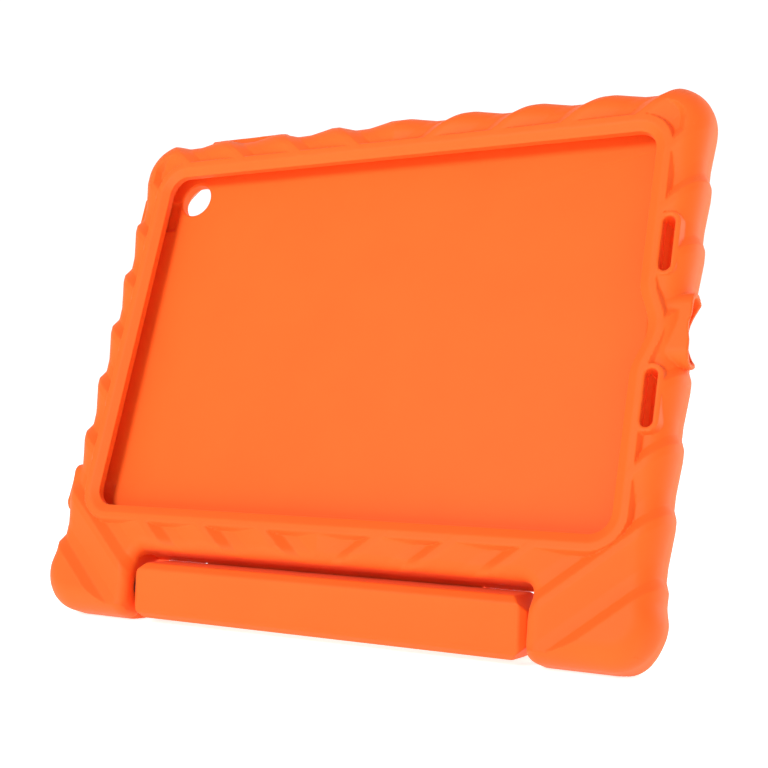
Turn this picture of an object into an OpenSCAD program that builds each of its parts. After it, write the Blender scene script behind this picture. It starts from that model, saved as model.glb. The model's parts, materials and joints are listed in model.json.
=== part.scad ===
// Foam tablet case with a swing-out handle that doubles as a stand.
// The case is drawn upright and then leaned back on its handle. While it is upright, X runs
// across the screen, Y runs from the screen towards the back (the glass is at Y = 0) and
// Z runs up the screen, with the middle of the display at X = Z = 0.

/* [Tablet it holds] */
// Width of the tablet, landscape
tablet_w = 250.6; // [246:0.1:254]
// Height of the tablet, landscape
tablet_h = 174.1; // [170:0.1:178]
// Thickness of the tablet
tablet_t = 7.5; // [6.5:0.1:8.5]
// Clearance round the tablet in its pocket
tablet_gap = 0.2; // [0:0.1:0.6]

/* [Foam shell] */
// Width over the crests of the tread
shell_w = 276; // [272:1:284]
// Height of the top edge above the middle of the display
shell_top = 100.5; // [99:0.5:104]
// Depth of the foot soles below the middle of the display
shell_bottom = 125.8; // [124:0.1:128]
// Height of the lip in front of the glass
lip_t = 5; // [4:0.5:6]
// Depth of the border behind the glass
back_d = 22; // [21:0.5:25]
// Depth of the thin back panel behind the glass
panel_d = 12; // [11:0.5:12]
// Corner radius of the outline
corner_r = 18; // [15:1:20]
// Rounding of the front edge
front_r = 10; // [8:0.5:11]
// Rounding of the rear edge along the top and under the feet
rear_r = 9; // [7:0.5:10]
// Rounding of the rear edge along the sides
side_r = 18; // [14:0.5:20]
// How far the feet stand out beyond the sides
foot_flare = 1.2; // [0:0.1:1.5]
// Angle that the case leans back from upright on its stand
lean = 19.75; // [15:0.25:25]

/* [Screen opening] */
// Width of the opening in the lip
opening_w = 236.6; // [230:0.2:240]
// Height of the opening in the lip
opening_h = 159.4; // [155:0.2:164]
// Width of the bevel round the opening
bevel_w = 3.7; // [2:0.1:4]
// Width of the flat strip outside the bevel
strip_w = 3; // [2:0.5:4]
// How far the opening swells round the home button
home_bulge = 5; // [3:0.5:6]

/* [Tread] */
// Spacing of the tread steps across their line
tread_pitch = 19.8; // [18:0.1:24]
// Slope of the tread lines from horizontal
tread_angle = 39.7; // [35:0.1:45]
// Depth of each tread step
tread_depth = 2.7; // [1:0.1:3]

/* [Handle] */
// Depth of the handle beam from front to back
beam_side = 21; // [19:0.5:21]
// How far the handle beam reaches below its hinge
beam_drop = 12.7; // [10.5:0.1:13]
// Length of the handle beam
beam_len = 180.6; // [176:0.2:181]
// Height of the hinge below the middle of the display
hinge_drop = 111; // [110:0.5:112]
// Depth of the hinge behind the glass
hinge_d = 10; // [9:0.5:10.5]
// Distance from the hinge to the far rail's rounded edge
loop_reach = 72; // [66:1:80]
// Thickness of the handle loop
loop_t = 5.4; // [5:0.1:7]
// Width of the loop's side arms
arm_w = 22; // [18:1:28]
// Width of the loop's far rail
rail_w = 20; // [16:1:24]

/* [Hinge] */
// Diameter of the steel hinge rod
rod_d = 6; // [4:0.5:7]
// Length of the steel hinge rod
rod_len = 210; // [204:1:216]
// Radial running clearance of the rod in its bushes
rod_clearance = 0.05; // [0.02:0.01:0.1]
// Thickness of each friction washer
washer_t = 0.9; // [0.5:0.1:0.9]

/* [Hidden] */

foam = [1, 0.46, 0.19];
nylon = [0.12, 0.12, 0.13];
acetal = [0.1, 0.1, 0.11];
steel = [0.72, 0.73, 0.75];

eps = 0.01;
far = 400;                          // longer than anything in the case
shell_bottom_z = -shell_bottom;
half_w = shell_w / 2;
pocket_w = tablet_w + 2 * tablet_gap;
pocket_h = tablet_h + 2 * tablet_gap;
pocket_r = 14;
opening_r = 7.5;
home_z = -2;                        // height of the home button
home_half_chord = 11;               // half the height of the swelling
home_r = (home_half_chord * home_half_chord + home_bulge * home_bulge) / (2 * home_bulge);
home_x = opening_w / 2 + home_bulge - home_r;
bevel_t = 2;                        // depth of the bevel from the lip's front face
lip_w = opening_w + 2 * (bevel_w + strip_w);
lip_h = opening_h + 2 * (bevel_w + strip_w) - 2;
lip_r = 13;

// Notch between the feet, and the stowed handle's recess in the back
notch_w = beam_len + 2.4;
swing_r = 13.3;                     // the beam turns inside this radius
swing_clearance = 0.2;
notch_top = -hinge_drop + swing_r;
notch_r = 3;
foot_inner_r = 8;
foot_top = -89;                     // the feet are drawn up to here
recess_w = 224;
recess_top = 78;
recess_bottom = -60;
recess_r = 12;
arm_bay_inner = 65;                 // the loop's arms fold into bays outside this

// Tread lines are counted up from the lowest one on the feet
tread_first = -161.7;
tread_count = 13;
tread_drop = 4;                     // width of the steep side of a step
side_depth = 1.8;                   // depth of the steps up the sides
tread_run = 17;                     // distance over which the floor rises back to the crest
sole_flush_z = -117;                // the tread stops here above the foot soles
corner_flush = [126, 78];           // and here at the top corners
notch_flush = 7;                    // and this far from the walls of the notch

// Openings for sound, charging, headphones and the rear camera
slot_x = 127.4;
slot_z = [30.6, -29.6];
slot_len = 22;
slot_w = 4.6;
collar_w = 10.4;
collar_len = 27;
port_z = -3;
port_len = 22;
port_w = 9;
port_rim = 2.2;
port_rim_t = 1.2;                   // how far the port's rim stands out from the crests
jack_rim_t = 0.6;
jack_z = -69.5;
jack_d = 8;
jack_rim_z = -71.5;
jack_rim_len = 21.8;
jack_rim_w = 10.4;
rim_root = 8;                       // how deep rims and covers are rooted in the border
camera_x = -111.3;
camera_z = 73;
camera_d = 16;
camera_flare_d = 34;
port_d = tablet_t / 2;              // depth of the tablet's side ports behind the glass

// Button pads: [middle along the edge, length]
power_z = 65;
volume_x = [-93, -73];
button_d = 6.4;                     // depth of the pads behind the glass
pad_len = 15;
pad_w = 4.8;
pad_gap = 0.35;
cover_t = 0.8;                      // raised cover round the pads
pad_proud = 0.4;
volume_cover = [-106, -62];
power_cover = [56, 74];
cover_w = 7;

// Handle, drawn with its loop pointing straight back
beam_half = beam_side / 2;
beam_chamfer = 2.6;
hole_r = 4;                         // corner radius of the hand hole
rail_r = 5;                         // rounding of the rail's lower edge
sole_bite = 0.3;                    // foam worn flat where the rail stands
foot_sole_bite = 0.9;               // foam worn flat where the feet stand
arm_gap = 0.3;                      // between the folded arms and the floor of their bays
core_side = 14;
core_t = 2.4;
core_w = 8;
washer_r = 7.5;
bush_r = 5.5;
bush_flange_r = 8;
bush_flange_t = 1.5;
bush_len = 16;

// Standing height: the feet touch the floor at the rounding of their rear lower edge
foot_round_z = shell_bottom_z + rear_r;
foot_round_d = back_d - rear_r;
glass_height = -(foot_round_z * cos(lean) - foot_round_d * sin(lean)) + rear_r - foot_sole_bite;
hinge_height = glass_height - hinge_drop * cos(lean) - hinge_d * sin(lean);

// Slope of the handle once its rail touches the floor, and its angle from square to the back
rail_drop = beam_half - rail_r;
rail_hyp = sqrt(loop_reach * loop_reach + rail_drop * rail_drop);
handle_slope = asin((hinge_height - rail_r + sole_bite) / rail_hyp) - atan2(rail_drop, loop_reach);
handle_angle = lean - handle_slope;

// The case's front and back at rest, which put the origin in the middle of its footprint
hinge_y = -hinge_drop * sin(lean) + hinge_d * cos(lean);
back_reach = max(hinge_y + loop_reach * cos(handle_slope) - rail_drop * sin(handle_slope) + rail_r,
                 (shell_top - rear_r) * sin(lean) + (back_d - rear_r) * cos(lean) + rear_r);
front_reach = (shell_bottom_z + front_r) * sin(lean) + (front_r - lip_t) * cos(lean) - front_r;
middle_y = (back_reach + front_reach) / 2;

// Puts a piece that is drawn upright into the standing case
module standing() {
    translate([0, -middle_y, glass_height]) rotate([-lean, 0, 0]) children();
}

// Puts a piece that is drawn round the hinge, loop straight back, into the standing case
module on_hinge() {
    standing() translate([0, hinge_d, -hinge_drop]) rotate([handle_angle, 0, 0]) children();
}

// Draws a flat outline in X and Z and gives it a depth from one Y to another
module slab(from, to) {
    translate([0, to, 0]) rotate([90, 0, 0]) linear_extrude(to - from) children();
}

module rounded_rect(low, high, r, fn = 48) {
    for (x = [low[0] + r, high[0] - r], z = [low[1] + r, high[1] - r])
        translate([x, z]) circle(r, $fn = fn);
    translate([low[0] + r, low[1]]) square([high[0] - low[0] - 2 * r, high[1] - low[1]]);
    translate([low[0], low[1] + r]) square([high[0] - low[0], high[1] - low[1] - 2 * r]);
}

module stadium(len, w) {
    for (s = [-1, 1]) translate([0, s * (len - w) / 2]) circle(w / 2, $fn = 32);
    square([w, len - w], center = true);
}

// Solid block with its front and rear edges rounded
module edged_block(half, top) {
    steps = 6;
    hull() {
        for (i = [0 : steps]) {
            a = 90 * i / steps;
            front_inset = front_r * (1 - cos(a));
            edge_layer(half, top, -lip_t + front_r * (1 - sin(a)), front_inset, front_inset);
            d = side_r * (1 - sin(a));
            edge_layer(half, top, back_d - d, side_r * (1 - cos(a)),
                       d < rear_r ? rear_r - sqrt(rear_r * rear_r - pow(rear_r - d, 2)) : 0);
        }
    }
}

module edge_layer(half, top, y, side_inset, end_inset) {
    slab(y - eps / 2, y + eps / 2)
        rounded_rect([-half + side_inset, shell_bottom_z + end_inset],
                     [half - side_inset, top - end_inset], max(2, corner_r - side_inset), 40);
}

module outer_block() {
    edged_block(half_w, shell_top);
    edged_block(half_w + foot_flare, foot_top);
}

// The tablet's room, and the screen opening with its bevel
module tablet_room() {
    slab(0, tablet_t)
        rounded_rect([-pocket_w / 2, -pocket_h / 2], [pocket_w / 2, pocket_h / 2], pocket_r);
    slab(-lip_t - 1, eps)
        rounded_rect([-opening_w / 2, -opening_h / 2], [opening_w / 2, opening_h / 2], opening_r);
    hull() {
        slab(-lip_t + bevel_t, -lip_t + bevel_t + eps)
            rounded_rect([-opening_w / 2, -opening_h / 2], [opening_w / 2, opening_h / 2], opening_r);
        slab(-lip_t - eps, -lip_t)
            rounded_rect([-opening_w / 2 - bevel_w, -opening_h / 2 - bevel_w + 1],
                         [opening_w / 2 + bevel_w, opening_h / 2 + bevel_w - 1], opening_r + bevel_w);
    }
    translate([home_x, 0, home_z]) rotate([90, 0, 0]) {
        translate([0, 0, -eps]) cylinder(h = lip_t + 1, r = home_r, $fn = 64);
        translate([0, 0, lip_t - bevel_t])
            cylinder(h = bevel_t + eps, r1 = home_r, r2 = home_r + bevel_w, $fn = 64);
    }
}

// Space between the feet, with rounded upper corners and rounded foot corners below
module notch() {
    translate([-notch_w / 2, hinge_d, -hinge_drop]) rotate([0, 90, 0])
        cylinder(h = notch_w, r = swing_r, $fn = 96);
    slab(panel_d - eps, back_d + 1)
        translate([-notch_w / 2, shell_bottom_z - 20]) square([notch_w, 20 + shell_bottom - hinge_drop]);
    slab(-lip_t - 1, panel_d)
        rounded_rect([-notch_w / 2, shell_bottom_z - 20], [notch_w / 2, notch_top], notch_r);
    slab(-lip_t - 1, back_d + 1) {
        for (s = [-1, 1]) translate([s * notch_w / 2, shell_bottom_z]) difference() {
            translate([-foot_inner_r, -foot_inner_r]) square([2 * foot_inner_r, 2 * foot_inner_r]);
            translate([s * foot_inner_r, foot_inner_r]) circle(foot_inner_r, $fn = 48);
            translate([s > 0 ? foot_inner_r : -far - foot_inner_r, -far / 2]) square(far);
            translate([-far / 2, foot_inner_r]) square(far);
        }
    }
}

// Thin back panel that the stowed loop lies on, and the two bays that its arms fold into
module back_recess() {
    slab(panel_d, back_d + 1)
        rounded_rect([-recess_w / 2, recess_bottom], [recess_w / 2, recess_top], recess_r);
    slab(hinge_d + beam_half - loop_t - arm_gap, back_d + 1) for (s = [0, 1]) mirror([s, 0, 0])
        translate([arm_bay_inner, -hinge_drop])
            square([notch_w / 2 - arm_bay_inner, hinge_drop + recess_bottom + recess_r]);
}

// One tread step across the right half of the front face
module front_step(s) {
    rotate([0, -tread_angle, 0]) translate([-far / 2, 0, s]) rotate([90, 0, 90])
        linear_extrude(far)
            polygon([[-lip_t - 1, 0], [-lip_t, 0], [-lip_t + tread_depth, tread_drop],
                     [-lip_t, tread_run], [-lip_t - 1, tread_run]]);
}

// One tread step up the right side
module side_step(s) {
    z = (s + half_w * sin(tread_angle)) / cos(tread_angle);
    stretch = 1 / cos(tread_angle);
    slab(-lip_t - 1, back_d + 1)
        polygon([[half_w + 1, z], [half_w, z], [half_w - side_depth, z + tread_drop * stretch],
                 [half_w, z + tread_run * stretch], [half_w + 1, z + tread_run * stretch]]);
}

// One tread step along the right half of the top
module top_step(s) {
    x = (shell_top * cos(tread_angle) - s) / sin(tread_angle);
    stretch = 1 / sin(tread_angle);
    slab(-lip_t - 1, back_d + 1)
        polygon([[x, shell_top + 1], [x, shell_top], [x - tread_drop * stretch, shell_top - tread_depth],
                 [x - tread_run * stretch, shell_top], [x - tread_run * stretch, shell_top + 1]]);
}

// All the steps of the right half, kept off the lip, the slot collars and the foot edges
module half_tread() {
    difference() {
        union() {
            for (k = [0 : tread_count - 1]) front_step(tread_first + k * tread_pitch);
            for (k = [0 : 5]) side_step(tread_first + k * tread_pitch);
            for (k = [9 : 12]) top_step(tread_first + k * tread_pitch);
        }
        translate([-far, -far / 2, -far / 2]) cube([far, far, far]);
        slab(-lip_t - 2, 2) {
            rounded_rect([-lip_w / 2, -lip_h / 2], [lip_w / 2, lip_h / 2], lip_r);
            translate([home_x, home_z]) circle(home_r + bevel_w + strip_w, $fn = 64);
            for (z = slot_z) translate([slot_x, z]) stadium(collar_len, collar_w);
        }
        slab(-lip_t - 2, 2) translate([-far / 2, sole_flush_z - far]) square(far);
        slab(-lip_t - 2, 2) translate(corner_flush) square(far);
        slab(-lip_t - 2, 2) translate([notch_w / 2 - notch_flush, -far - hinge_drop + beam_side])
            square([2 * notch_flush, far]);
    }
}

// Slots in front of the side speakers, charging port, headphone jack and camera window
module sound_and_port_cuts() {
    for (z = slot_z) slab(-lip_t - 1, tablet_t) translate([slot_x, z]) stadium(slot_len, slot_w);
    translate([tablet_w / 2 - 2, port_d, port_z]) rotate([90, 0, 90])
        linear_extrude(far) stadium(port_len, port_w);
    translate([-tablet_w / 2 + 2, port_d, jack_z]) rotate([0, -90, 0])
        cylinder(h = far, d = jack_d, $fn = 32);
    translate([camera_x, tablet_t - 1, camera_z]) rotate([-90, 0, 0])
        cylinder(h = far, d = camera_d, $fn = 48);
    translate([camera_x, panel_d, camera_z]) rotate([-90, 0, 0])
        cylinder(h = back_d - panel_d + eps, d1 = camera_d, d2 = camera_flare_d, $fn = 48);
}

// Raised rims round the port and the jack, and raised covers round the button pads
module raised_parts() {
    translate([half_w - rim_root, port_d, port_z]) rotate([90, 0, 90])
        linear_extrude(rim_root + port_rim_t) stadium(port_len + 2 * port_rim, port_w + 2 * port_rim);
    translate([-half_w - jack_rim_t, port_d, jack_rim_z]) rotate([90, 0, 90])
        linear_extrude(rim_root + jack_rim_t) stadium(jack_rim_len, jack_rim_w);
    translate([volume_cover[0], button_d - cover_w / 2, shell_top - rim_root])
        cube([volume_cover[1] - volume_cover[0], cover_w, rim_root + cover_t]);
    translate([-half_w - cover_t, button_d - cover_w / 2, power_cover[0]])
        cube([rim_root + cover_t, cover_w, power_cover[1] - power_cover[0]]);
}

// A button pad's plug, standing on the tablet's edge and pointing up
module pad_plug(grow, top) {
    translate([0, button_d, 0]) linear_extrude(top) rotate(90)
        stadium(pad_len + 2 * grow, pad_w + 2 * grow);
}

module volume_plug(i, grow, top) {
    translate([volume_x[i], 0, pocket_h / 2 + (grow > 0 ? -1 : 0.8)])
        pad_plug(grow, top - pocket_h / 2);
}

module power_plug(grow, top) {
    translate([-pocket_w / 2 - (grow > 0 ? -1 : 0.8), 0, power_z]) rotate([0, -90, 0])
        pad_plug(grow, top - pocket_w / 2);
}

module bush_seats() {
    for (s = [-1, 1]) translate([s * notch_w / 2, hinge_d, -hinge_drop]) rotate([0, s * 90, 0]) {
        translate([0, 0, -1]) cylinder(h = bush_flange_t + 1, r = bush_flange_r, $fn = 48);
        cylinder(h = bush_len, r = bush_r, $fn = 48);
    }
}

// Everything below the floor that the case stands on, in its standing place
module floor_block() {
    translate([-far / 2, -far / 2, -far]) cube(far);
}

module foam_shell() {
    color(foam) difference() {
        standing() difference() {
            union() {
                difference() {
                    outer_block();
                    half_tread();
                    mirror([1, 0, 0]) half_tread();
                }
                raised_parts();
            }
            tablet_room();
            notch();
            back_recess();
            sound_and_port_cuts();
            for (i = [0, 1]) volume_plug(i, pad_gap, shell_top + 5);
            power_plug(pad_gap, half_w + 5);
            bush_seats();
        }
        floor_block();
    }
}

module volume_up_pad() {
    color(foam) standing() volume_plug(0, 0, shell_top + cover_t + pad_proud - 0.8);
}

module volume_down_pad() {
    color(foam) standing() volume_plug(1, 0, shell_top + cover_t + pad_proud - 0.8);
}

module power_button_pad() {
    color(foam) standing() power_plug(0, half_w + cover_t + pad_proud - 0.8);
}

// Rectangle with all four corners cut off
module chamfered(half_x, half_y, c) {
    polygon([[-half_x, c - half_y], [c - half_x, -half_y], [half_x - c, -half_y], [half_x, c - half_y],
             [half_x, half_y - c], [half_x - c, half_y], [c - half_x, half_y], [-half_x, half_y - c]]);
}

// The hinge beam, chamfered along every edge, its rear lower edge kept inside the turning circle
module beam() {
    half_len = beam_len / 2;
    half_tall = (beam_half + beam_drop) / 2;
    difference() {
        translate([0, 0, beam_half - half_tall]) intersection() {
            rotate([90, 0, 90]) translate([0, 0, -half_len])
                linear_extrude(beam_len) chamfered(beam_half, half_tall, beam_chamfer);
            translate([0, 0, -half_tall])
                linear_extrude(2 * half_tall) chamfered(half_len, beam_half, beam_chamfer);
            slab(-beam_half, beam_half) chamfered(half_len, half_tall, beam_chamfer);
        }
        rotate([90, 0, 90]) translate([0, 0, -far / 2]) linear_extrude(far) difference() {
            translate([0, -beam_side]) square(beam_side);
            circle(swing_r - swing_clearance, $fn = 96);
        }
    }
}

// Flat outline of the loop, seen from above, with the hand hole cut out
module loop_outline() {
    reach = loop_reach + rail_r;
    difference() {
        union() {
            translate([-beam_len / 2, 0]) square([beam_len, reach - 14]);
            rounded_rect([-beam_len / 2, 0], [beam_len / 2, reach], 14);
        }
        rounded_rect([-beam_len / 2 + arm_w, beam_half - beam_chamfer],
                     [beam_len / 2 - arm_w, reach - rail_w], hole_r);
    }
}

module handle_block() {
    beam();
    intersection() {
        translate([0, 0, -beam_half]) linear_extrude(loop_t) loop_outline();
        rotate([90, 0, 90]) translate([0, 0, -beam_len / 2]) linear_extrude(beam_len) {
            translate([0, -beam_half]) square([loop_reach, loop_t]);
            translate([loop_reach, -rail_drop]) circle(rail_r, $fn = 48);
            translate([loop_reach, -rail_drop]) square([rail_r - 2, loop_t - rail_r]);
        }
    }
}

// Stiff insert: a bar in the beam and a flat hoop in the loop
module core_block() {
    translate([-beam_len / 2 + 5, -core_side / 2, -core_side / 2])
        cube([beam_len - 10, core_side, core_side]);
    hoop_x = beam_len / 2 - arm_w / 2 + core_w / 2;
    hoop_y = loop_reach + rail_r - rail_w / 2 + core_w / 2;
    translate([0, 0, -beam_half + (loop_t - core_t) / 2]) linear_extrude(core_t) difference() {
        rounded_rect([-hoop_x, -core_side / 2], [hoop_x, hoop_y], 12);
        rounded_rect([-hoop_x + core_w, -core_side], [hoop_x - core_w, hoop_y - core_w], 5);
    }
}

module rod_bore(r) {
    translate([-far / 2, 0, 0]) rotate([0, 90, 0]) cylinder(h = far, r = r, $fn = 48);
}

module handle_foam() {
    color(foam) difference() {
        on_hinge() difference() {
            handle_block();
            core_block();
            rod_bore(rod_d / 2);
        }
        floor_block();
    }
}

module handle_core() {
    color(nylon) on_hinge() difference() {
        core_block();
        rod_bore(rod_d / 2);
    }
}

module hinge_rod() {
    color(steel) on_hinge() translate([-rod_len / 2, 0, 0]) rotate([0, 90, 0])
        cylinder(h = rod_len, d = rod_d, $fn = 48);
}

// Flanged bush in the right foot
module hinge_bush() {
    standing() translate([notch_w / 2, hinge_d, -hinge_drop]) rotate([0, 90, 0]) difference() {
        union() {
            cylinder(h = bush_flange_t, r = bush_flange_r, $fn = 48);
            cylinder(h = bush_len, r = bush_r, $fn = 48);
        }
        translate([0, 0, -1]) cylinder(h = bush_len, r = rod_d / 2 + rod_clearance, $fn = 48);
    }
}

module hinge_bush_right() {
    color(nylon) hinge_bush();
}

module hinge_bush_left() {
    color(nylon) mirror([1, 0, 0]) hinge_bush();
}

// Washer on the right end of the beam
module friction_washer() {
    on_hinge() translate([beam_len / 2, 0, 0]) rotate([0, 90, 0]) difference() {
        cylinder(h = washer_t, r = washer_r, $fn = 48);
        translate([0, 0, -1]) cylinder(h = washer_t + 2, d = rod_d, $fn = 48);
    }
}

module friction_washer_right() {
    color(acetal) friction_washer();
}

module friction_washer_left() {
    color(acetal) mirror([1, 0, 0]) friction_washer();
}

foam_shell();
handle_foam();
handle_core();
hinge_rod();
hinge_bush_left();
hinge_bush_right();
friction_washer_left();
friction_washer_right();
power_button_pad();
volume_up_pad();
volume_down_pad();
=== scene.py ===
"""Looks for the foam tablet case: moulded shell, swing-out handle, hinge parts and button pads.

The foam pieces are drawn as signed distance fields in millimetres, in the tablet's own frame
(x across the screen, y up the screen, z out of the glass, 0 at the middle of the display), meshed,
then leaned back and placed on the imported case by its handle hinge.
"""

import json
import math

import bpy
import numpy as np
from mathutils import Matrix, Vector


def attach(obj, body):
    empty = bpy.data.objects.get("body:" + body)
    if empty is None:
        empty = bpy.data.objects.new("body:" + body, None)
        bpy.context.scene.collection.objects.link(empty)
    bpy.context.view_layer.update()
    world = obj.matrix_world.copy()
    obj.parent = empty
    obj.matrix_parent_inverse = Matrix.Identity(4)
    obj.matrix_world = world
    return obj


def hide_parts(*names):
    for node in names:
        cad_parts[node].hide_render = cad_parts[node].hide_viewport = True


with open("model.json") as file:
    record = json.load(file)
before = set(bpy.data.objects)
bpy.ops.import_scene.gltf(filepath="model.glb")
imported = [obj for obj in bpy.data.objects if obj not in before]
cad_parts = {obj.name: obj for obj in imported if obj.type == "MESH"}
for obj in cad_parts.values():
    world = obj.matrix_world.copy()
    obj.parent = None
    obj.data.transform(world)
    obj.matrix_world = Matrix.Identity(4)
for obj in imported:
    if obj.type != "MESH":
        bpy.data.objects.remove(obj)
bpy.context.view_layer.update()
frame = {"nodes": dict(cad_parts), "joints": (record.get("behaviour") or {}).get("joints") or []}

MM = 0.001
LEAN = math.radians(19.75)

# Shell, mm
HALF_W, TOP, BOTTOM = 138.0, 100.5, -125.8
FRONT_Z, REAR_Z, PANEL_Z = 5.0, -22.0, -12.0
FRONT_R, REAR_R, SIDE_REAR_R, CORNER_R = 10.0, 9.0, 15.5, 18.0
SIDE_BLEND = 12.0                   # the sides' rear rounding fades into the top's over this
FOOT_FLARE, FOOT_FLARE_Y = 1.2, (-108.0, -100.5)
POCKET_HALF = (125.5, 87.25)
POCKET_R, POCKET_Z = 14.0, -7.5
OPENING_HALF, OPENING_R = (118.3, 79.7), 8.0
BEVEL_FROM_Z, BEVEL_W = 3.0, 3.7
STRIP_W = 3.0
HOME_Y, HOME_BULGE, HOME_REACH = -2.0, 5.0, 19.0
NOTCH_HALF, NOTCH_TOP, NOTCH_R, NOTCH_EDGE_R = 91.5, -97.7, 4.0, 5.0
NOTCH_REAR_EDGE_R = 4.0
RECESS_HALF_W, RECESS_TOP, RECESS_LOW, RECESS_R = 112.0, 78.0, -60.0, 12.0
RECESS_FLOOR_R, RECESS_EDGE_R = 2.0, 2.5
BAY_INNER, BAY_TOP, BAY_Z, BAY_R = 65.0, -48.0, -14.9, 2.0
LIP_EDGE_R = 0.3

# Tread: steps cross the border along lines that slope this way, mirrored about the middle
TREAD_ANGLE = math.radians(39.7)
TREAD_FIRST, TREAD_PITCH = -161.7, 19.8
TREAD_PROFILE = ((0.0, 0.0), (3.9, 2.7), (8.4, 2.55), (17.2, 0.0), (19.8, 0.0))
TREAD_SAMPLE, TREAD_EASE, TREAD_PAD = 0.05, 25, 40  # table spacing; samples eased and padded
TREAD_CREST = 0.3                   # rounds the meeting of the two sides of the mirror, mm squared
TREAD_FADE_Z, TREAD_FADE = (-18.0, 4.0), (0.2, 1.0)  # share of the tread's depth, rear to front
TREAD_CORNER_R = 0.2
CORNER_BAND = 7                     # the pocket that crosses the upper corners
CORNER_INSET = 8.7
REAR_FLUSH_Z = -20.5                # the surface is whole behind this
FOOT_FLUSH_Y, FOOT_FLUSH_SLOPE = -124.5, 1.41  # and whole again below this, for the soles
FOOT_FLAT_Y = -105.0                # below this the pockets are sunk straight back
FRONT_REACH = 4.0                   # raised outlines spread over this depth from the front
STRIP_SPREAD, COLLAR_SPREAD, COLLAR_BLEND_R = 0.6, 0.3, 1.0

# Holes, rims and covers
SLOT_X, SLOT_Y = 127.4, (30.6, -29.6)
SLOT_HALF, COLLAR_HALF, COLLAR_R = 11.0, 12.8, 4.1
SLOT_R, SLOT_EDGE_R = 2.3, 0.7
PORT = (-1.5, -3.5)                 # middle, y and z
PORT_HALF, PORT_R, PORT_RIM = 12.5, 4.3, 2.0
PORT_EDGE_R = 0.9
SCOOP, SCOOP_RISE, SCOOP_X, SCOOP_Z = 130.0, 4.2, 0.953, 0.303
SCOOP_EDGE_R, RIM_HEIGHT, RIM_EDGE_R, RIM_BLEND_R = 1.0, 1.2, 0.6, 0.3
RIM_LIMIT = 139.0
RIM_FROM, HOLE_FROM = 128.0, 120.0  # side features start this far out
JACK = (-69.5, -3.75)
JACK_R, JACK_RIM_Y, JACK_RIM_HALF, JACK_RIM_R = 4.0, -71.5, 10.9, 5.2
JACK_SADDLE, JACK_SADDLE_RISE, JACK_RIM_EDGE_R, JACK_EDGE_R = 136.7, 1.3, 1.0, 0.8
CAMERA = (-111.3, 73.0)
CAMERA_R, CAMERA_FLARE = 8.0, 9.0
CAMERA_SLOPE, CAMERA_EDGE_R = 0.75, 1.0
PAD_Z = -6.4
VOLUME_COVER, POWER_COVER = (-106.0, -62.0), (56.0, 74.0)
VOLUME_X, POWER_Y = (-93.0, -73.0), 65.0
COVER_HALF_W, COVER_T = 3.5, 0.8
COVER_R, COVER_EDGE_R, COVER_BLEND_R, COVER_FROM = 2.0, 0.8, 0.6, 92.0
PAD_HALF, PAD_R, PAD_GROOVE = 7.5, 2.4, 0.35
PAD_FROM = 85.0                     # the volume pads' grooves start this far up

# Handle, drawn round the hinge with its loop along -z
HINGE_Y, HINGE_Z = -111.0, -10.0
BEAM_HALF, BEAM_HALF_LEN, BEAM_CHAMFER, BEAM_CORNER = 10.5, 90.3, 2.6, 5.5
BEAM_DROP = 12.7                    # from the hinge down to the underside of the beam
BEAM_EDGE_R, LOOP_EDGE_R, LOOP_CORNER_R, LOOP_BLEND_R = 0.5, 2.6, 14.0, 1.2
LOOP_START, LOOP_END = 20.0, -2.0   # the loop's outline starts ahead of the hinge, its slab behind
LOOP_REACH, RAIL_R, LOOP_T = 72.0, 5.0, 5.4
ARM_W, RAIL_W, HOLE_R = 22.0, 20.0, 4.0
SWING_R, SWING_CLEARANCE = 13.2, 0.2  # the beam turns inside this radius


# ---- distance field helpers -------------------------------------------------------------------

def rect2(x, y, half_x, half_y, r):
    """Distance to a rounded rectangle centred on the origin."""
    qx = np.abs(x) - (half_x - r)
    qy = np.abs(y) - (half_y - r)
    return np.hypot(np.maximum(qx, 0), np.maximum(qy, 0)) + np.minimum(np.maximum(qx, qy), 0) - r


def box2(x, y, low, high, r):
    return rect2(x - (low[0] + high[0]) / 2, y - (low[1] + high[1]) / 2,
                 (high[0] - low[0]) / 2, (high[1] - low[1]) / 2, r)


def cut_round(a, b, r):
    """What is inside both a and b, with the edge between them rounded to radius r."""
    return np.minimum(-r, np.maximum(a, b)) + np.hypot(np.maximum(a + r, 0), np.maximum(b + r, 0))


def join_round(a, b, r):
    """What is inside a or b, with the hollow between them filled to radius r."""
    return np.maximum(r, np.minimum(a, b)) - np.hypot(np.maximum(r - a, 0), np.maximum(r - b, 0))


def ramp(t, low, high):
    """0 below low, 1 above high, smooth between."""
    u = np.clip((t - low) / (high - low), 0, 1)
    return u * u * (3 - 2 * u)


def tread_table():
    """The tread's depth over one pitch, with its corners eased."""
    t = np.arange(0, TREAD_PITCH, TREAD_SAMPLE)
    depth = np.interp(t, *zip(*TREAD_PROFILE))
    kernel = np.hanning(TREAD_EASE)
    kernel /= kernel.sum()
    padded = np.concatenate([depth[-TREAD_PAD:], depth, depth[:TREAD_PAD]])
    return t, np.convolve(padded, kernel, "same")[TREAD_PAD:-TREAD_PAD]


TREAD_T, TREAD_DEPTH = tread_table()


# ---- foam shell -------------------------------------------------------------------------------

def opening_distance(x, y):
    """Distance to the screen opening, which swells towards the home button."""
    swell = 0.5 + 0.5 * np.cos(np.pi * np.clip((y - HOME_Y) / HOME_REACH, -1, 1))
    x = x - HOME_BULGE * swell * ramp(x, 60, 110)
    return rect2(x, y, *OPENING_HALF, OPENING_R)


def stadium(a, b, half, r):
    """Distance to a slot along a, half long and r wide on each side."""
    return np.hypot(np.maximum(np.abs(a) - (half - r), 0), b) - r


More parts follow.
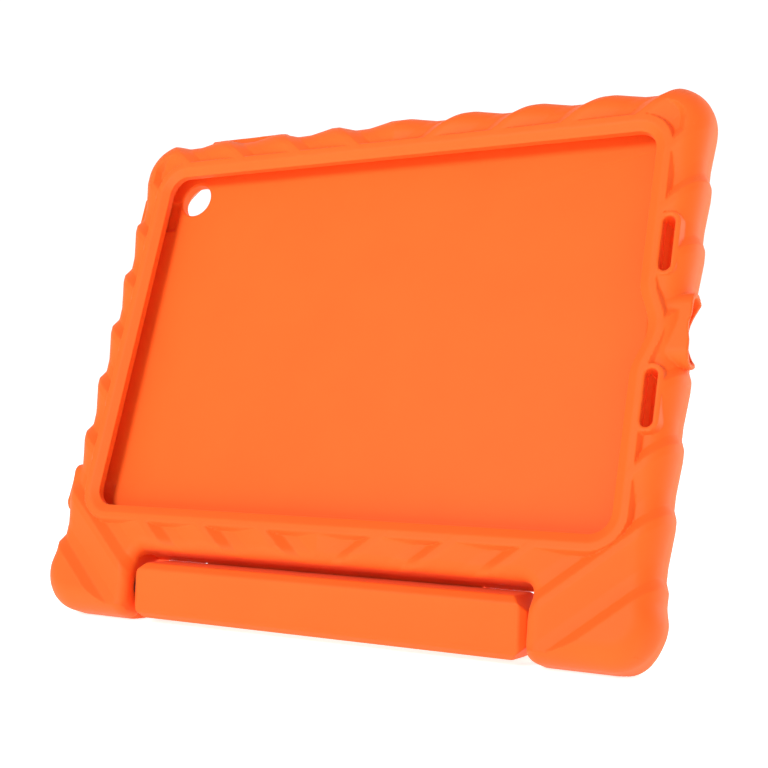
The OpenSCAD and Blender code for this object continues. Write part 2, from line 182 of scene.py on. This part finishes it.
def block(x, y, z):
    """The whole outer block, edges rounded, before anything is cut from it."""
    half_w = HALF_W + FOOT_FLARE * (1 - ramp(y, *FOOT_FLARE_Y))
    half_h = (TOP - BOTTOM) / 2
    y = y - (TOP + BOTTOM) / 2
    out = rect2(x, y, half_w, half_h, CORNER_R)
    front = cut_round(out, z - FRONT_Z, FRONT_R)
    nearer_side = ramp((np.abs(x) - half_w) - (np.abs(y) - half_h), -SIDE_BLEND, SIDE_BLEND)
    rear = cut_round(out, REAR_Z - z, REAR_R + (SIDE_REAR_R - REAR_R) * nearer_side)
    return np.maximum(front, rear), out


def tread(x, y):
    """How deep the tread is sunk below the block's surface at each point, and which step it is."""
    along = -np.sqrt(x * x + TREAD_CREST) * math.sin(TREAD_ANGLE) + y * math.cos(TREAD_ANGLE) - TREAD_FIRST
    band = np.floor(along / TREAD_PITCH)
    depth = np.interp(along - band * TREAD_PITCH, TREAD_T, TREAD_DEPTH)
    depth = np.where(along < -TREAD_PITCH * 0.05, 0, depth)
    return depth, band


def shell(x, y, z):
    solid, out = block(x, y, z)
    sunk, band = tread(x, y)
    low = np.clip(FRONT_Z - z, 0, FRONT_REACH)

    # Where the surface stays proud of the tread: lip, slot collars, foot soles, rear edge, corners
    opening = opening_distance(x, y)
    proud = opening - BEVEL_W - STRIP_W - STRIP_SPREAD * low
    for slot_y in SLOT_Y:
        collar = stadium(y - slot_y, x - SLOT_X, COLLAR_HALF, COLLAR_R) - COLLAR_SPREAD * low
        proud = join_round(proud, collar, COLLAR_BLEND_R)
    inset = sunk * np.interp(z, TREAD_FADE_Z, TREAD_FADE)
    notch = box2(x, y, (-NOTCH_HALF, -180), (NOTCH_HALF, NOTCH_TOP), NOTCH_R)
    proud = np.minimum(proud, z - REAR_FLUSH_Z)
    proud = np.minimum(proud, (y - FOOT_FLUSH_Y - low) / FOOT_FLUSH_SLOPE)
    corner = np.where(band == CORNER_BAND, -(out + CORNER_INSET) - low, 1e3)
    proud = np.minimum(proud, corner)
    sunk_body = np.where(y < FOOT_FLAT_Y, np.maximum(solid, z - FRONT_Z + inset), solid + inset)
    body = join_round(sunk_body, np.maximum(solid, proud), TREAD_CORNER_R)

    # Notch between the feet
    body = cut_round(body, -np.maximum(notch, PANEL_Z - z), NOTCH_EDGE_R)
    between_feet = np.abs(x) - NOTCH_HALF
    behind = np.maximum(np.maximum(between_feet, y - HINGE_Y), z - PANEL_Z)
    body = cut_round(body, -behind, NOTCH_REAR_EDGE_R)
    swing = np.maximum(np.hypot(y - HINGE_Y, z - HINGE_Z) - SWING_R, between_feet)
    body = np.maximum(body, -swing)

    # Raised rims and covers
    side = np.hypot(np.maximum(np.abs(y - PORT[0]) - (PORT_HALF - PORT_R), 0), z - PORT[1])
    scoop = SCOOP_X * x - SCOOP_Z * z - SCOOP - SCOOP_RISE * ((y - PORT[0]) / PORT_HALF) ** 2
    body = cut_round(body, scoop, SCOOP_EDGE_R)
    crest = np.maximum(scoop - RIM_HEIGHT, x - RIM_LIMIT)
    rim = cut_round(side - PORT_R - PORT_RIM, crest, RIM_EDGE_R)
    body = join_round(body, np.maximum(rim, RIM_FROM - x), RIM_BLEND_R)
    jack = np.hypot(y - JACK[0], z - JACK[1])
    saddle = JACK_SADDLE + JACK_SADDLE_RISE * ((y - JACK_RIM_Y) / JACK_RIM_HALF) ** 2
    rim = stadium(y - JACK_RIM_Y, z - JACK[1], JACK_RIM_HALF, JACK_RIM_R)
    rim = cut_round(rim, -x - saddle, JACK_RIM_EDGE_R)
    body = join_round(body, np.maximum(rim, RIM_FROM + x), JACK_EDGE_R)
    cover = cut_round(box2(x, z, (VOLUME_COVER[0], PAD_Z - COVER_HALF_W),
                           (VOLUME_COVER[1], PAD_Z + COVER_HALF_W), COVER_R),
                      y - TOP - COVER_T, COVER_EDGE_R)
    body = join_round(body, np.maximum(cover, COVER_FROM - y), COVER_BLEND_R)
    cover = cut_round(box2(y, z, (POWER_COVER[0], PAD_Z - COVER_HALF_W),
                           (POWER_COVER[1], PAD_Z + COVER_HALF_W), COVER_R),
                      -x - HALF_W - COVER_T, COVER_EDGE_R)
    body = join_round(body, np.maximum(cover, RIM_FROM + x), COVER_BLEND_R)

    # Back: thin panel, and the bay for the folded handle
    recess = box2(x, y, (-RECESS_HALF_W, RECESS_LOW), (RECESS_HALF_W, RECESS_TOP), RECESS_R)
    body = cut_round(body, -cut_round(recess, z - PANEL_Z, RECESS_FLOOR_R), RECESS_EDGE_R)
    bay = box2(np.abs(x), y, (BAY_INNER, HINGE_Y), (NOTCH_HALF, BAY_TOP), BAY_R)
    body = np.maximum(body, -np.maximum(bay, z - BAY_Z))

    # Tablet pocket, screen opening with its bevel
    pocket = np.maximum(rect2(x, y, *POCKET_HALF, POCKET_R), np.maximum(z, POCKET_Z - z))
    slope = BEVEL_W / (FRONT_Z - BEVEL_FROM_Z)
    bevel = (opening - slope * (z - BEVEL_FROM_Z)) / math.hypot(1, slope)
    window = np.maximum(np.minimum(opening, bevel), POCKET_Z / 2 - z)
    body = cut_round(body, -window, LIP_EDGE_R)
    body = np.maximum(body, -pocket)

    # Slots, port, jack and camera window
    for slot_y in SLOT_Y:
        slot = stadium(y - slot_y, x - SLOT_X, SLOT_HALF, SLOT_R)
        body = cut_round(body, -np.maximum(slot, POCKET_Z - z), SLOT_EDGE_R)
    hole = np.maximum(side - PORT_R, HOLE_FROM - x)
    body = cut_round(body, -hole, PORT_EDGE_R)
    body = cut_round(body, -np.maximum(jack - JACK_R, x + HOLE_FROM), JACK_EDGE_R)
    eye = np.hypot(x - CAMERA[0], y - CAMERA[1])
    flare = CAMERA_R + np.clip(PANEL_Z - z, 0, CAMERA_FLARE)
    body = cut_round(body, -np.maximum((eye - flare) * CAMERA_SLOPE, z - POCKET_Z / 2),
                     CAMERA_EDGE_R)

    # Grooves round the button pads
    for pad_x in VOLUME_X:
        pad = stadium(x - pad_x, z - PAD_Z, PAD_HALF + PAD_GROOVE, PAD_R + PAD_GROOVE)
        body = np.maximum(body, -np.maximum(pad, PAD_FROM - y))
    pad = stadium(y - POWER_Y, z - PAD_Z, PAD_HALF + PAD_GROOVE, PAD_R + PAD_GROOVE)
    body = np.maximum(body, -np.maximum(pad, x + HOLE_FROM))

    # Soles worn flat by the floor
    height = glass_at.z / MM + y * math.cos(LEAN) + z * math.sin(LEAN)
    return np.maximum(body, -height)


# ---- handle -----------------------------------------------------------------------------------

def handle(x, y, z):
    """Beam and loop round the hinge: x along the beam, y up, z towards the front."""
    c, corner = BEAM_CHAMFER, BEAM_CORNER
    tall = (BEAM_HALF + BEAM_DROP) / 2
    faces = [np.abs(x) - BEAM_HALF_LEN, np.abs(y + tall - BEAM_HALF) - tall, np.abs(z) - BEAM_HALF]
    beam = np.maximum(np.maximum(faces[0], faces[1]), faces[2])
    for a, b, cut in ((0, 1, corner), (0, 2, c), (1, 2, c)):
        beam = cut_round(beam, (faces[a] + faces[b] + cut) * math.sqrt(0.5), BEAM_EDGE_R)
    turning = np.hypot(y, z) - SWING_R + SWING_CLEARANCE
    low_rear = (y < 0) & (z < 0) & (z > -2 * BEAM_HALF)
    beam = np.maximum(beam, np.where(low_rear, turning, -BEAM_HALF))
    reach = LOOP_REACH + RAIL_R
    outline = box2(x, -z, (-BEAM_HALF_LEN, -LOOP_START), (BEAM_HALF_LEN, reach), LOOP_CORNER_R)
    hole = box2(x, -z, (-BEAM_HALF_LEN + ARM_W, BEAM_HALF - c),
                (BEAM_HALF_LEN - ARM_W, reach - RAIL_W), HOLE_R)
    middle = -BEAM_HALF + LOOP_T / 2
    slab = np.abs(y - middle) - LOOP_T / 2
    loop = np.maximum(cut_round(outline, slab, LOOP_EDGE_R), z - LOOP_END)
    loop = cut_round(loop, -hole, LOOP_EDGE_R)
    slope = LEAN - swing
    height = hinge_at.z / MM + y * math.cos(slope) + z * math.sin(slope)
    joined = join_round(beam, loop, LOOP_BLEND_R)
    joined = np.maximum(joined, np.where(low_rear & (np.abs(x) < BAY_INNER), turning, -BEAM_HALF))
    return np.maximum(joined, -height)


# ---- meshing ----------------------------------------------------------------------------------

# A face this many degree-millimetres wide, or turned less than FLAT_TURN degrees, counts as smooth
CURVE_TURN, FLAT_TURN = 26.0, 2.5


def surface_nets(field, low, high, step):
    """Quads round the zero surface of field, one vertex in each cell that the surface crosses."""
    counts = [int(math.ceil((h - l) / step)) + 1 for l, h in zip(low, high)]
    axes = [np.float32(l) + np.float32(step) * np.arange(n, dtype=np.float32)
            for l, n in zip(low, counts)]
    value = np.empty(counts, dtype=np.float32)
    rows = 24
    for i in range(0, counts[0], rows):
        x, y, z = np.meshgrid(axes[0][i:i + rows], axes[1], axes[2], indexing="ij")
        value[i:i + rows] = field(x, y, z)
    inside = value < 0
    cells = tuple(n - 1 for n in counts)
    total = np.zeros(cells, dtype=np.uint8)
    corners = [(a, b, c) for a in (0, 1) for b in (0, 1) for c in (0, 1)]

    def at(array, corner):
        return array[tuple(slice(o, o + n) for o, n in zip(corner, cells))]

    for corner in corners:
        total += at(inside, corner)
    active = (total > 0) & (total < 8)
    index = np.full(cells, -1, dtype=np.int64)
    index[active] = np.arange(active.sum())
    place = np.zeros((int(active.sum()), 3))
    crossings = np.zeros(len(place))
    for axis in range(3):
        for corner in corners:
            if corner[axis]:
                continue
            other = tuple(o + (k == axis) for k, o in enumerate(corner))
            va, vb = at(value, corner)[active], at(value, other)[active]
            hit = (va < 0) != (vb < 0)
            t = np.where(hit, va / np.where(hit, va - vb, 1), 0)
            for k in range(3):
                place[:, k] += hit * (corner[k] + (t if k == axis else 0))
            crossings += hit
    place /= crossings[:, None]
    place += np.argwhere(active)
    place = place * step + np.array(low)

    quads = []
    for axis in range(3):
        u, v = [k for k in range(3) if k != axis]
        span = [slice(1, n) for n in cells]
        span[axis] = slice(0, cells[axis])
        near = inside[tuple(slice(s.start, s.stop) for s in span)]
        shifted = list(span)
        shifted[axis] = slice(1, cells[axis] + 1)
        beyond = inside[tuple(shifted)]
        edge = np.argwhere(near != beyond)
        leaving = near[tuple(edge.T)]
        edge = edge + np.array([s.start for s in span])
        ring = []
        for du, dv in ((1, 1), (0, 1), (0, 0), (1, 0)):
            cell = edge.copy()
            cell[:, u] -= du
            cell[:, v] -= dv
            ring.append(index[tuple(cell.T)])
        ring = np.stack(ring, axis=1)
        flip = leaving if axis == 1 else ~leaving
        ring[flip] = ring[flip][:, ::-1]
        quads.append(ring)
    return place, np.concatenate(quads)


def gradient(field, p, h=0.04):
    g = np.empty_like(p)
    for k in range(3):
        step = np.zeros(3)
        step[k] = h
        a, b = p + step, p - step
        g[:, k] = (field(*a.T) - field(*b.T)) / (2 * h)
    return g


def onto(field, p, rounds=3):
    """Moves points along the field's slope until they lie on its surface."""
    for _ in range(rounds):
        g = gradient(field, p)
        d = field(*p.T)
        step = d[:, None] * g / np.maximum((g * g).sum(1), 0.25)[:, None]
        size = np.linalg.norm(step, axis=1)
        step *= np.minimum(1, 0.5 / np.maximum(size, 1e-9))[:, None]
        p = p - step
    return p


def to_mesh(name, verts, faces):
    mesh = bpy.data.meshes.new(name)
    size = faces.shape[1]
    mesh.vertices.add(len(verts))
    mesh.vertices.foreach_set("co", verts.astype(np.float32).ravel())
    mesh.loops.add(faces.size)
    mesh.loops.foreach_set("vertex_index", faces.astype(np.int32).ravel())
    mesh.polygons.add(len(faces))
    mesh.polygons.foreach_set("loop_start", np.arange(0, faces.size, size, dtype=np.int32))
    mesh.update(calc_edges=True)
    mesh.validate()
    return mesh


def corner_normals(mesh, smooth):
    """The field's normals, but a face's own normal wherever it is too wide to be part of a curve."""
    corner = np.empty(len(mesh.loops), dtype=np.int32)
    mesh.loops.foreach_get("vertex_index", corner)
    co = np.empty(len(mesh.vertices) * 3)
    mesh.vertices.foreach_get("co", co)
    a, b, c = (co.reshape(-1, 3)[corner.reshape(-1, 3)[:, k]] / MM for k in range(3))
    flat = np.cross(b - a, c - a)
    twice_area = np.linalg.norm(flat, axis=1)
    longest = np.maximum.reduce([np.linalg.norm(e, axis=1) for e in (b - a, c - b, a - c)])
    flat /= np.maximum(twice_area, 1e-9)[:, None]
    width = twice_area / np.maximum(longest, 1e-9)
    most_turn = np.radians(np.clip(CURVE_TURN / np.maximum(width, 1e-3), FLAT_TURN, 40))
    flat, most_turn = np.repeat(flat, 3, axis=0), np.repeat(most_turn, 3)
    normal = smooth[corner]
    turned = (normal * flat).sum(1) < np.cos(most_turn)
    normal[turned] = flat[turned]
    return normal


def moulded(name, field, low, high, step, max_faces, place):
    """A foam piece: meshes its field, thins it evenly, fits it back on the surface, places it."""
    verts, quads = surface_nets(field, low, high, step)
    verts = onto(field, verts, 2)
    obj = bpy.data.objects.new(name, to_mesh(name, verts, quads))
    bpy.context.scene.collection.objects.link(obj)
    thin = obj.modifiers.new("thin", "DECIMATE")
    thin.ratio = min(1.0, max_faces / (2 * len(quads)))
    thin.use_collapse_triangulate = True
    bpy.context.view_layer.update()
    shown = obj.evaluated_get(bpy.context.evaluated_depsgraph_get())
    mesh = bpy.data.meshes.new_from_object(shown)
    old = obj.data
    obj.modifiers.clear()
    obj.data = mesh
    bpy.data.meshes.remove(old)
    p = np.empty(len(mesh.vertices) * 3)
    mesh.vertices.foreach_get("co", p)
    p = onto(field, p.reshape(-1, 3), 2)
    n = gradient(field, p)
    n /= np.maximum(np.linalg.norm(n, axis=1), 1e-9)[:, None]
    turn = np.array(place.to_3x3())
    placed = p @ turn.T * MM + np.array(place.translation)
    mesh.vertices.foreach_set("co", placed.astype(np.float32).ravel())
    mesh.polygons.foreach_set("use_smooth", [True] * len(mesh.polygons))
    mesh.update()
    mesh.normals_split_custom_set(corner_normals(mesh, n @ turn.T).tolist())
    return obj


# ---- materials --------------------------------------------------------------------------------

def node_material(name):
    mat = bpy.data.materials.new(name)
    mat.use_nodes = True
    tree = mat.node_tree
    shader = tree.nodes["Principled BSDF"]
    return mat, tree, shader


def link(tree, a, out, b, into):
    tree.links.new(a.outputs[out], b.inputs[into])


def noise(tree, coords, scale, detail, roughness=0.5):
    n = tree.nodes.new("ShaderNodeTexNoise")
    n.inputs["Scale"].default_value = scale
    n.inputs["Detail"].default_value = detail
    n.inputs["Roughness"].default_value = roughness
    link(tree, coords, "Object", n, "Vector")
    return n


def foam_material(name, base, shade):
    """Moulded EVA foam: soft mottling, a fine pebbled skin and a velvety edge."""
    mat, tree, shader = node_material(name)
    coords = tree.nodes.new("ShaderNodeTexCoord")
    mottle = noise(tree, coords, 38, 3)
    mix = tree.nodes.new("ShaderNodeMix")
    mix.data_type = "RGBA"
    mix.inputs["A"].default_value = (*base, 1)
    mix.inputs["B"].default_value = (*shade, 1)
    spread = tree.nodes.new("ShaderNodeMapRange")
    spread.inputs["From Min"].default_value = 0.35
    spread.inputs["From Max"].default_value = 0.7
    spread.inputs["To Max"].default_value = 0.35
    link(tree, mottle, "Fac", spread, "Value")
    tree.links.new(spread.outputs["Result"], mix.inputs["Factor"])
    tree.links.new(mix.outputs["Result"], shader.inputs["Base Color"])
    skin = noise(tree, coords, 2600, 2)
    rough = tree.nodes.new("ShaderNodeMapRange")
    rough.inputs["To Min"].default_value = 0.5
    rough.inputs["To Max"].default_value = 0.66
    link(tree, skin, "Fac", rough, "Value")
    tree.links.new(rough.outputs["Result"], shader.inputs["Roughness"])
    pebble = noise(tree, coords, 1500, 3, 0.55)
    bump = tree.nodes.new("ShaderNodeBump")
    bump.inputs["Strength"].default_value = 0.12
    bump.inputs["Distance"].default_value = 0.00012
    link(tree, pebble, "Fac", bump, "Height")
    link(tree, bump, "Normal", shader, "Normal")
    shader.inputs["Specular IOR Level"].default_value = 0.2
    shader.inputs["Sheen Weight"].default_value = 0.08
    shader.inputs["Sheen Roughness"].default_value = 0.45
    shader.inputs["Sheen Tint"].default_value = (1.0, 0.75, 0.55, 1)
    return mat


def plastic_material(name, base, rough, grain):
    """Moulded engineering plastic with a faint spark-eroded grain."""
    mat, tree, shader = node_material(name)
    coords = tree.nodes.new("ShaderNodeTexCoord")
    fine = noise(tree, coords, grain, 3)
    tone = tree.nodes.new("ShaderNodeMix")
    tone.data_type = "RGBA"
    tone.inputs["A"].default_value = (*[c * 0.85 for c in base], 1)
    tone.inputs["B"].default_value = (*base, 1)
    link(tree, fine, "Fac", tone, "Factor")
    tree.links.new(tone.outputs["Result"], shader.inputs["Base Color"])
    shader.inputs["Roughness"].default_value = rough
    bump = tree.nodes.new("ShaderNodeBump")
    bump.inputs["Strength"].default_value = 0.15
    bump.inputs["Distance"].default_value = 0.00008
    link(tree, fine, "Fac", bump, "Height")
    link(tree, bump, "Normal", shader, "Normal")
    return mat


def steel_material(name):
    """Drawn steel rod, with fine lines round it."""
    mat, tree, shader = node_material(name)
    coords = tree.nodes.new("ShaderNodeTexCoord")
    stretch = tree.nodes.new("ShaderNodeMapping")
    stretch.inputs["Scale"].default_value = (6000, 40, 40)
    link(tree, coords, "Object", stretch, "Vector")
    lines = tree.nodes.new("ShaderNodeTexNoise")
    lines.inputs["Scale"].default_value = 1.0
    lines.inputs["Detail"].default_value = 2
    link(tree, stretch, "Vector", lines, "Vector")
    rough = tree.nodes.new("ShaderNodeMapRange")
    rough.inputs["To Min"].default_value = 0.25
    rough.inputs["To Max"].default_value = 0.42
    link(tree, lines, "Fac", rough, "Value")
    tree.links.new(rough.outputs["Result"], shader.inputs["Roughness"])
    shader.inputs["Base Color"].default_value = (0.56, 0.57, 0.58, 1)
    shader.inputs["Metallic"].default_value = 1.0
    return mat


FOAM = foam_material("eva_foam_shell", (0.96, 0.130, 0.013), (0.92, 0.117, 0.011))
HANDLE_FOAM = foam_material("eva_foam_handle", (0.96, 0.132, 0.014), (0.92, 0.119, 0.012))
NYLON = plastic_material("black_nylon", (0.02, 0.02, 0.022), 0.42, 1800)
ACETAL = plastic_material("black_acetal", (0.015, 0.015, 0.016), 0.3, 1600)
STEEL = steel_material("drawn_steel")

# ---- pieces -----------------------------------------------------------------------------------

hinge = next(j for j in frame["joints"] if j["name"] == "handle_hinge")
hinge_at = Vector(hinge["pos_m"])
lean_turn = Matrix.Rotation(math.radians(90) - LEAN, 4, "X")
glass_at = hinge_at - lean_turn.to_3x3() @ Vector((0, HINGE_Y, HINGE_Z)) * MM
case_place = Matrix.Translation(glass_at) @ lean_turn
swing = math.radians(90 - hinge["range_deg"][1])
handle_place = Matrix.Translation(hinge_at) @ lean_turn @ Matrix.Rotation(swing, 4, "X")

STEP = 0.75
SHELL_GRID = (-142, -128, -24), (142, 104, 7)   # both grids reach past every surface of the piece
HANDLE_GRID = (-92, -15, -79), (92, 12, 12)
SHELL_FACES, HANDLE_FACES = 190000, 60000
shell_piece = moulded("moulded_shell", shell, *SHELL_GRID, STEP, SHELL_FACES, case_place)
shell_piece.data.materials.append(FOAM)
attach(shell_piece, "case")
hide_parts("foam_shell")

handle_piece = moulded("moulded_handle", handle, *HANDLE_GRID, STEP, HANDLE_FACES, handle_place)
handle_piece.data.materials.append(HANDLE_FOAM)
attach(handle_piece, "handle")
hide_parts("handle_foam")

for node, mat in (("handle_core", NYLON), ("hinge_rod", STEEL), ("hinge_bush_left", NYLON),
                  ("hinge_bush_right", NYLON), ("friction_washer_left", ACETAL),
                  ("friction_washer_right", ACETAL), ("power_button_pad", FOAM),
                  ("volume_up_pad", FOAM), ("volume_down_pad", FOAM)):
    for slot in frame["nodes"][node].material_slots:
        slot.material = mat

# ---- floor, light, camera ---------------------------------------------------------------------

def floor():
    bpy.ops.mesh.primitive_plane_add(size=60, location=(0, 0, 0))
    plane = bpy.context.object
    plane.name = "floor"
    mat, tree, shader = node_material("lit_white_floor")
    shader.inputs["Base Color"].default_value = (0.8, 0.8, 0.8, 1)
    shader.inputs["Roughness"].default_value = 0.9
    shader.inputs["Emission Color"].default_value = (1, 1, 1, 1)
    shader.inputs["Emission Strength"].default_value = 0.75
    plane.data.materials.append(mat)


def area_light(name, at, target, size, power, colour=(1, 1, 1)):
    data = bpy.data.lights.new(name, "AREA")
    data.shape = "RECTANGLE"
    data.size, data.size_y = size
    data.energy = power
    data.color = colour
    obj = bpy.data.objects.new(name, data)
    obj.location = at
    obj.rotation_euler = (Vector(target) - Vector(at)).to_track_quat("-Z", "Y").to_euler()
    bpy.context.scene.collection.objects.link(obj)


def world_light(backdrop, room):
    """A white studio: bright behind the case, dimmer over and in front of it."""
    world = bpy.data.worlds.new("white_studio")
    bpy.context.scene.world = world
    world.use_nodes = True
    tree = world.node_tree
    coords = tree.nodes.new("ShaderNodeTexCoord")
    axes = tree.nodes.new("ShaderNodeSeparateXYZ")
    fade = tree.nodes.new("ShaderNodeMapRange")
    fade.interpolation_type = "SMOOTHSTEP"
    fade.inputs["From Min"].default_value = -0.1
    fade.inputs["From Max"].default_value = 0.5
    fade.inputs["To Min"].default_value = room
    fade.inputs["To Max"].default_value = backdrop
    link(tree, coords, "Generated", axes, "Vector")
    link(tree, axes, "Y", fade, "Value")
    sky = tree.nodes["Background"]
    sky.inputs["Color"].default_value = (1, 1, 1, 1)
    tree.links.new(fade.outputs["Result"], sky.inputs["Strength"])


def camera():
    data = bpy.data.cameras.new("camera")
    data.sensor_width = 36
    data.lens = 60.77
    data.clip_start = 0.01
    obj = bpy.data.objects.new("camera", data)
    obj.location = glass_at + Vector((276.61, -458.71, -21.58)) * MM
    obj.rotation_euler = (math.radians(90), 0, math.radians(30.1))
    bpy.context.scene.collection.objects.link(obj)
    bpy.context.scene.camera = obj


floor()
world_light(1.1, 0.3)
area_light("key", (-0.2, -1.1, 0.6), (0, 0, 0.11), (0.4, 0.4), 10.5)
area_light("rim", (0.9, 0.75, 0.25), (0, 0, 0.11), (0.3, 0.8), 7)
camera()
bpy.context.scene.view_settings.view_transform = "Standard"
